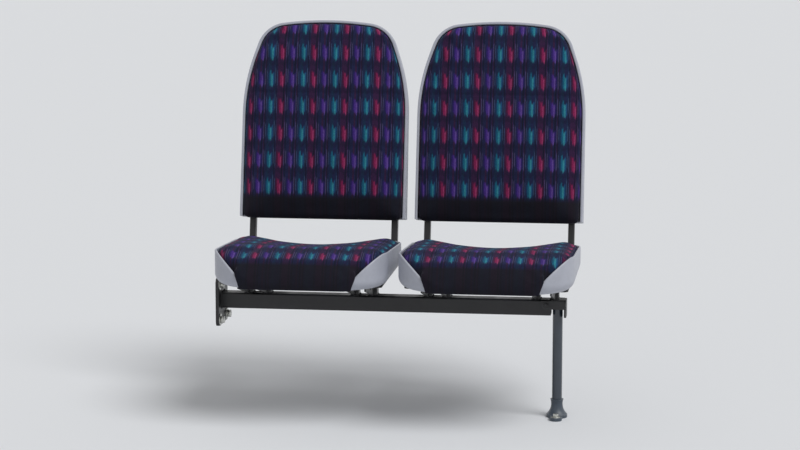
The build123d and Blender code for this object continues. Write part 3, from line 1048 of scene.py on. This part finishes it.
for place in PLACES:
    pad = own_copy(seat_model, "pad")
    map_seat(pad, (SEAT_PATTERN[0] + PATTERN_SHIFT[place], SEAT_PATTERN[1]))
    pad.data.transform(Matrix.Translation((middle_x[place] - middle_x["aisle"], 0, 0)))
    settle(pad, f"seat_cushion_{place}", moquette)
    make_active(pad)
    bpy.ops.object.shade_smooth()
    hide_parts(f"seat_pad_{place}")
bpy.data.objects.remove(seat_model)
print("cushions in place", len(PLACES))

# %% [markdown]
# Turned and bevelled parts
#
# Washers, heads and caps are short prisms with softened edges. A sharp edge would show as a
# hard line that no real part has, so every edge past 30 degrees gets a small bevel. Faces are
# picked by the way they look, as one would click them by hand, then inset or moved.

# %% Prisms, bevels and picked faces
BEVEL_PAST = math.radians(30)
SMOOTH_BELOW = math.radians(40)
LOOKS_UP = 0.9


def prism(sides, radius, low, high):
    """A short prism that stands on the height `low`."""
    bpy.ops.mesh.primitive_cylinder_add(
        vertices=sides, radius=radius, depth=high - low, location=(0, 0, (low + high) / 2)
    )
    bpy.ops.object.transform_apply(location=True, rotation=False, scale=False)
    return bpy.context.object


def soften_edges(piece, width, segments=2):
    """A small bevel on every sharp edge, then smooth shading between them."""
    apply_modifier(
        piece, "BEVEL", width=width, segments=segments, limit_method="ANGLE",
        angle_limit=BEVEL_PAST,
    )
    bpy.ops.object.shade_smooth_by_angle(angle=SMOOTH_BELOW)


def sink_top(piece, rim, sunk):
    """Insets the face that looks up, and sinks it."""
    bpy.ops.object.mode_set(mode="EDIT")
    mesh = bmesh.from_edit_mesh(piece.data)
    bpy.ops.mesh.select_mode(type="FACE")
    bpy.ops.mesh.select_all(action="DESELECT")
    for face in mesh.faces:
        face.select_set(face.normal.z > LOOKS_UP)
    bmesh.update_edit_mesh(piece.data)
    bpy.ops.mesh.inset(thickness=rim)
    bpy.ops.transform.translate(value=(0, 0, -sunk))
    bpy.ops.object.mode_set(mode="OBJECT")


print("edges past", round(math.degrees(BEVEL_PAST)), "degrees get a bevel")

# %% [markdown]
# A hexagon bolt
#
# A fitter fastens the foot to the floor, the plate to the side wall, the leg's head to the beam
# and the scoops to their carriers. A bolt is modelled on its washer at the origin, looking up:
# the head is a six-sided prism with a sunk top and bevelled edges. Its measures are shares of
# the width across the flats, which is 10, 13 and 17 mm for M6, M8 and M10, so one function
# makes every size, and a nut too.

# %% Hexagon bolt
WASHER_THICK = 0.12
WASHER_RADIUS = 0.92
HEAD_HEIGHT = 0.58
HEAD_RIM = 0.12
HEAD_SUNK = 0.05
END_RADIUS = 0.3
END_PROUD = 0.22
WASHER_EDGE = 0.036
HEAD_EDGE = 0.05
END_EDGE = 0.06
M6 = 0.010
M8 = 0.013
M10 = 0.017


def joined(pieces):
    """Joins pieces that were modelled apart into the first one."""
    start_fresh()
    for piece in pieces:
        piece.select_set(True)
    bpy.context.view_layer.objects.active = pieces[0]
    bpy.ops.object.join()
    return pieces[0]


def hexagon_bolt(width, nut=False):
    """A bolt head (or a nut with the end of its bolt) on a washer; `width` is across the flats."""
    thick = WASHER_THICK * width
    top = thick + HEAD_HEIGHT * width
    washer = prism(sides=32, radius=WASHER_RADIUS * width, low=0, high=thick)
    soften_edges(washer, WASHER_EDGE * width, segments=1)
    head = prism(sides=6, radius=width / math.sqrt(3), low=thick, high=top)
    sink_top(head, HEAD_RIM * width, HEAD_SUNK * width)
    soften_edges(head, HEAD_EDGE * width)
    pieces = [head, washer]
    if nut:
        reach = top + END_PROUD * width
        end = prism(sides=20, radius=END_RADIUS * width, low=thick, high=reach)
        soften_edges(end, END_EDGE * width, segments=1)
        pieces.append(end)
    return joined(pieces)


bolt = hexagon_bolt(M8)
big_bolt = hexagon_bolt(M10)
small_bolt = hexagon_bolt(M6)
nut = hexagon_bolt(M6, nut=True)
print("a bolt has", len(bolt.data.polygons), "faces, the nut", len(nut.data.polygons))

# %% [markdown]
# Bolts of foot, wall plate and leg head
#
# The holes are in the CAD model already, so each bolt goes over its hole, with its washer flat
# on the metal. The copies are turned a little each, because nobody lines up bolt heads. The
# through-bolt of the leg's head was painted with it, so it wears the same black coat.

# %% Bolts of foot, wall plate and head
FOOT_BOLTS = 0.042
WALL_BOLTS = (0.042, 0.045)
BASE_THICK = 0.008
HEAD_BOLT = (-0.02765, 0.287)

beam_low, beam_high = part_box("cross_beam")
beam_middle_z = (beam_low.z + beam_high.z) / 2
plate_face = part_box("wall_plate")[1].x
head_low, head_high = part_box("leg_head")


def place_copy(model, name, at, facing, finish, turn=0.0):
    """One copy of a model that was made at the origin looking along +Z."""
    copy = own_copy(model, name)
    aim = Vector(facing).to_track_quat("Z", "Y").to_matrix().to_4x4()
    copy.data.transform(Matrix.Translation(at) @ aim @ Matrix.Rotation(turn, 4, "Z"))
    return settle(copy, name, finish)


for name, side, turn in (("front", -1, 0.2), ("rear", 1, 0.9)):
    at = (0, side * FOOT_BOLTS, BASE_THICK)
    place_copy(bolt, f"foot_bolt_{name}", at, (0, 0, 1), bolt_zinc, turn)
for index, (side, level) in enumerate(((-1, -1), (1, -1), (-1, 1), (1, 1))):
    at = (plate_face, side * WALL_BOLTS[0], beam_middle_z + level * WALL_BOLTS[1])
    place_copy(big_bolt, f"wall_bolt_{index}", at, (1, 0, 0), bolt_zinc, 0.4 + 0.7 * index)
for model, name, y in ((small_bolt, "head_bolt", head_low.y), (nut, "head_nut", head_high.y)):
    at = (HEAD_BOLT[0], y, HEAD_BOLT[1])
    place_copy(model, name, at, (0, math.copysign(1, y), 0), black_powder_coat, turn=0.3)
print("head bolt through", round(1000 * (head_high.y - head_low.y), 1), "mm")

# %% [markdown]
# Bolts under the scoops
#
# Each carrier's flange is bolted up into the scoop that lies on it. The same bolt model is used
# again, now looking down. A box round each carrier gives its middle line and the height of its
# flange, so the bolts sit against the steel between the two webs.

# %% Bolts that hold the scoops
SCOOP_BOLT_Y = (-0.125, 0.100)
BETWEEN_WEBS = 0.016
FLANGE_THICK = 0.004

down = (0, 0, -1)
for place in PLACES:
    for hand, side in HANDS:
        low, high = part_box(f"seat_carrier_{place}_{hand}")
        x = (low.x + high.x) / 2 - side * BETWEEN_WEBS
        for index, y in enumerate(SCOOP_BOLT_Y):
            at = (x, y, high.z - FLANGE_THICK)
            name = f"scoop_bolt_{place}_{hand}_{index}"
            place_copy(bolt, name, at, down, bolt_zinc, turn=index + side)
print("scoop bolts", len(PLACES) * len(HANDS) * len(SCOOP_BOLT_Y))

# %% [markdown]
# A weld bead
#
# A hand-laid bead looks like a row of overlapping coins. It could be a bump in the material,
# but its edge against the steel would stay flat. So one flattened ball is the coin, an array
# repeats it along a line, and four lines go round a rectangle.

# %% Weld bead
BEAD = 0.0024
COIN = (0.6, 1, 0.8)


def bead(length):
    """One straight bead along X, centred on the origin."""
    bpy.ops.mesh.primitive_uv_sphere_add(segments=10, ring_count=6, radius=BEAD)
    coin = bpy.context.object
    bpy.ops.object.mode_set(mode="EDIT")
    bpy.ops.mesh.select_all(action="SELECT")
    bpy.ops.transform.resize(value=COIN)
    bpy.ops.transform.translate(value=(-length / 2, 0, 0))
    bpy.ops.object.mode_set(mode="OBJECT")
    count = max(int(length / (COIN[0] * BEAD)), 2)
    apply_modifier(
        coin, "ARRAY", count=count, use_relative_offset=False, use_constant_offset=True,
        constant_offset_displace=(length / (count - 1), 0, 0),
    )
    bpy.ops.object.shade_smooth()
    return coin


def weld_round(width, depth):
    """Beads on the four sides of a rectangle that lies in the X-Y plane."""
    quarter = math.radians(90)
    sides = []
    for length, x, y, turn in (
        (width, 0, depth / 2, 0), (width, 0, -depth / 2, 0),
        (depth, width / 2, 0, quarter), (depth, -width / 2, 0, quarter),
    ):
        side = bead(length)
        turned_in_place = Matrix.Translation((x, y, 0)) @ Matrix.Rotation(turn, 4, "Z")
        side.data.transform(turned_in_place)
        sides.append(side)
    return joined(sides)


STUB = (0.020, 0.030)
UPRIGHT = (0.016, 0.0256)
BEAM = (0.040, 0.040)
stub_weld = weld_round(*STUB)
upright_weld = weld_round(*UPRIGHT)
beam_weld = weld_round(*BEAM)
print("weld round a stub has", len(stub_weld.data.polygons), "faces")

# %% [markdown]
# Welds in place
#
# The stubs are welded to beam and flange, the uprights to the flange, and the beam to its wall
# plate. A frame is powder coated after welding, so the coat covers the welds too. The models
# are removed at the end, because only their copies belong to the seat.

# %% Welds in place
WEB_LINES = (-0.039, 0.007)

flange_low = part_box("seat_carrier_aisle_left")[1].z - FLANGE_THICK
for place in PLACES:
    for hand, side in HANDS:
        low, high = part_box(f"seat_carrier_{place}_{hand}")
        middle = (low.x + high.x) / 2
        welds = []
        for line in WEB_LINES:
            for z in (beam_high.z, flange_low):
                weld = own_copy(stub_weld, "weld")
                weld.data.transform(Matrix.Translation((middle + side * line, 0, z)))
                welds.append(weld)
        settle(joined(welds), f"carrier_weld_{place}_{hand}", black_powder_coat)
        low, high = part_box(f"back_upright_{place}_{hand}")
        at = ((low.x + high.x) / 2, low.y + UPRIGHT[1] / 2, low.z)
        name = f"upright_weld_{place}_{hand}"
        place_copy(upright_weld, name, at, (0, 0, 1), black_powder_coat)
at = (plate_face, 0, beam_middle_z)
place_copy(beam_weld, "plate_weld", at, (1, 0, 0), black_powder_coat)

for model in (bolt, big_bolt, small_bolt, nut, stub_weld, upright_weld, beam_weld):
    bpy.data.objects.remove(model)
print("welds on", len(PLACES) * len(HANDS), "carriers, as many uprights, and the wall plate")

# %% [markdown]
# Caps on the rear of the backs
#
# Two screws at each side hold the shell to its uprights. A round moulded cap covers each screw.
# The cap is a low disc whose face is inset and sunk, with a rounded rim. A ray cast from behind
# finds the point on the shell's skin and the way it looks there, so the cap lies flat on it.

# %% Rear caps
CAP_RADIUS = 0.011
CAP_HEIGHT = 0.003
CAP_RIM = 0.22 * CAP_RADIUS
CAP_SUNK = 0.3 * CAP_HEIGHT
CAP_ROUND = 0.25 * CAP_HEIGHT
CAP_UP = (0.055, 0.125)
UPRIGHT_INSET = 0.030
RAY_FROM = -0.2

cap = prism(sides=40, radius=CAP_RADIUS, low=-CAP_HEIGHT, high=CAP_HEIGHT)
sink_top(cap, CAP_RIM, CAP_SUNK)
soften_edges(cap, CAP_ROUND)

on_skin = 0
for place in PLACES:
    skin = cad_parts[f"back_shell_{place}"]
    reach = skin.matrix_world.inverted()
    for hand, side in HANDS:
        for level, up in enumerate(CAP_UP):
            aim = back_axes(place) @ Vector((side * (half_place - UPRIGHT_INSET), up, RAY_FROM))
            hit, at, normal, _ = skin.ray_cast(reach @ aim, reach.to_3x3() @ forwards)
            at = skin.matrix_world @ at
            normal = skin.matrix_world.to_3x3() @ normal
            name = f"rear_cap_{place}_{hand}_{level}"
            place_copy(cap, name, at, normal, black_cap_plastic)
            on_skin += hit
bpy.data.objects.remove(cap)
print("rear caps on the skin", on_skin, "of", len(PLACES) * len(HANDS) * len(CAP_UP))

# %% [markdown]
# Studio floor and lamp
#
# The floor is a plain pale sheet that isn't part of the seat. One wide sun lamp gives a soft
# shadow and the same light everywhere on the floor. A nearby area lamp would fall off towards
# the edges of the picture and leave a bright pool.

# %% Floor and lamp
FLOOR_RADIUS = 40.0
FLOOR_SIDES = 96
SUN_FROM = Vector((0.46, -0.34, 0.82))
SUN_STRENGTH = 1.9
SUN_WIDTH = math.radians(32)
SUN_AWAY = 5

start_fresh()
bpy.ops.mesh.primitive_circle_add(
    vertices=FLOOR_SIDES, radius=FLOOR_RADIUS, fill_type="NGON"
)
floor = bpy.context.object
floor.name = "studio_floor"
material, tree, shader = new_material("studio_floor", Roughness=0.8, Specular_IOR_Level=0.2)
shader["Base Color"].default_value = paint(224, 226, 229)
floor.data.materials.append(material)
floor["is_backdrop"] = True

bpy.ops.object.light_add(type="SUN", location=SUN_FROM * SUN_AWAY)
sun = bpy.context.object
sun.rotation_euler = (-SUN_FROM).to_track_quat("-Z", "Y").to_euler()
sun.data.energy = SUN_STRENGTH
sun.data.angle = SUN_WIDTH
print("floor", 2 * FLOOR_RADIUS, "m wide, sun of strength", SUN_STRENGTH)

# %% [markdown]
# The world
#
# The world adds an even light for the shaded sides. Through the Light Path node the camera sees
# it as a pale wall of the floor's own tone, so no horizon shows, and glossy paint mirrors it a
# little brighter. A real wall would throw its own light and shadow on the seat.

# %% World
SKY_STRENGTH = 0.42
MIRRORED_STRENGTH = 0.86
WALL_STRENGTH = 0.705

world = bpy.data.worlds.new("pale_studio")
bpy.context.scene.world = world
world.use_nodes = True
tree = world.node_tree
path = add(tree, "LightPath").outputs
mirrored = spread(tree, path["Is Glossy Ray"], 0, 1, SKY_STRENGTH, MIRRORED_STRENGTH)
extra = WALL_STRENGTH - SKY_STRENGTH
strength = calc(tree, "MULTIPLY_ADD", path["Is Camera Ray"], extra, mirrored)
background = tree.nodes["Background"].inputs
tree.links.new(strength, background["Strength"])
background["Color"].default_value = (1.0, 1.0, 1.0, 1.0)

bpy.context.scene.view_settings.view_transform = "Standard"
print("world", world.name, "seen by the camera at", WALL_STRENGTH)

# %% [markdown]
# Sizes at the end
#
# The box round all that renders is measured at the end, with the floor left out.

# %% Sizes at the end
low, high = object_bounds()
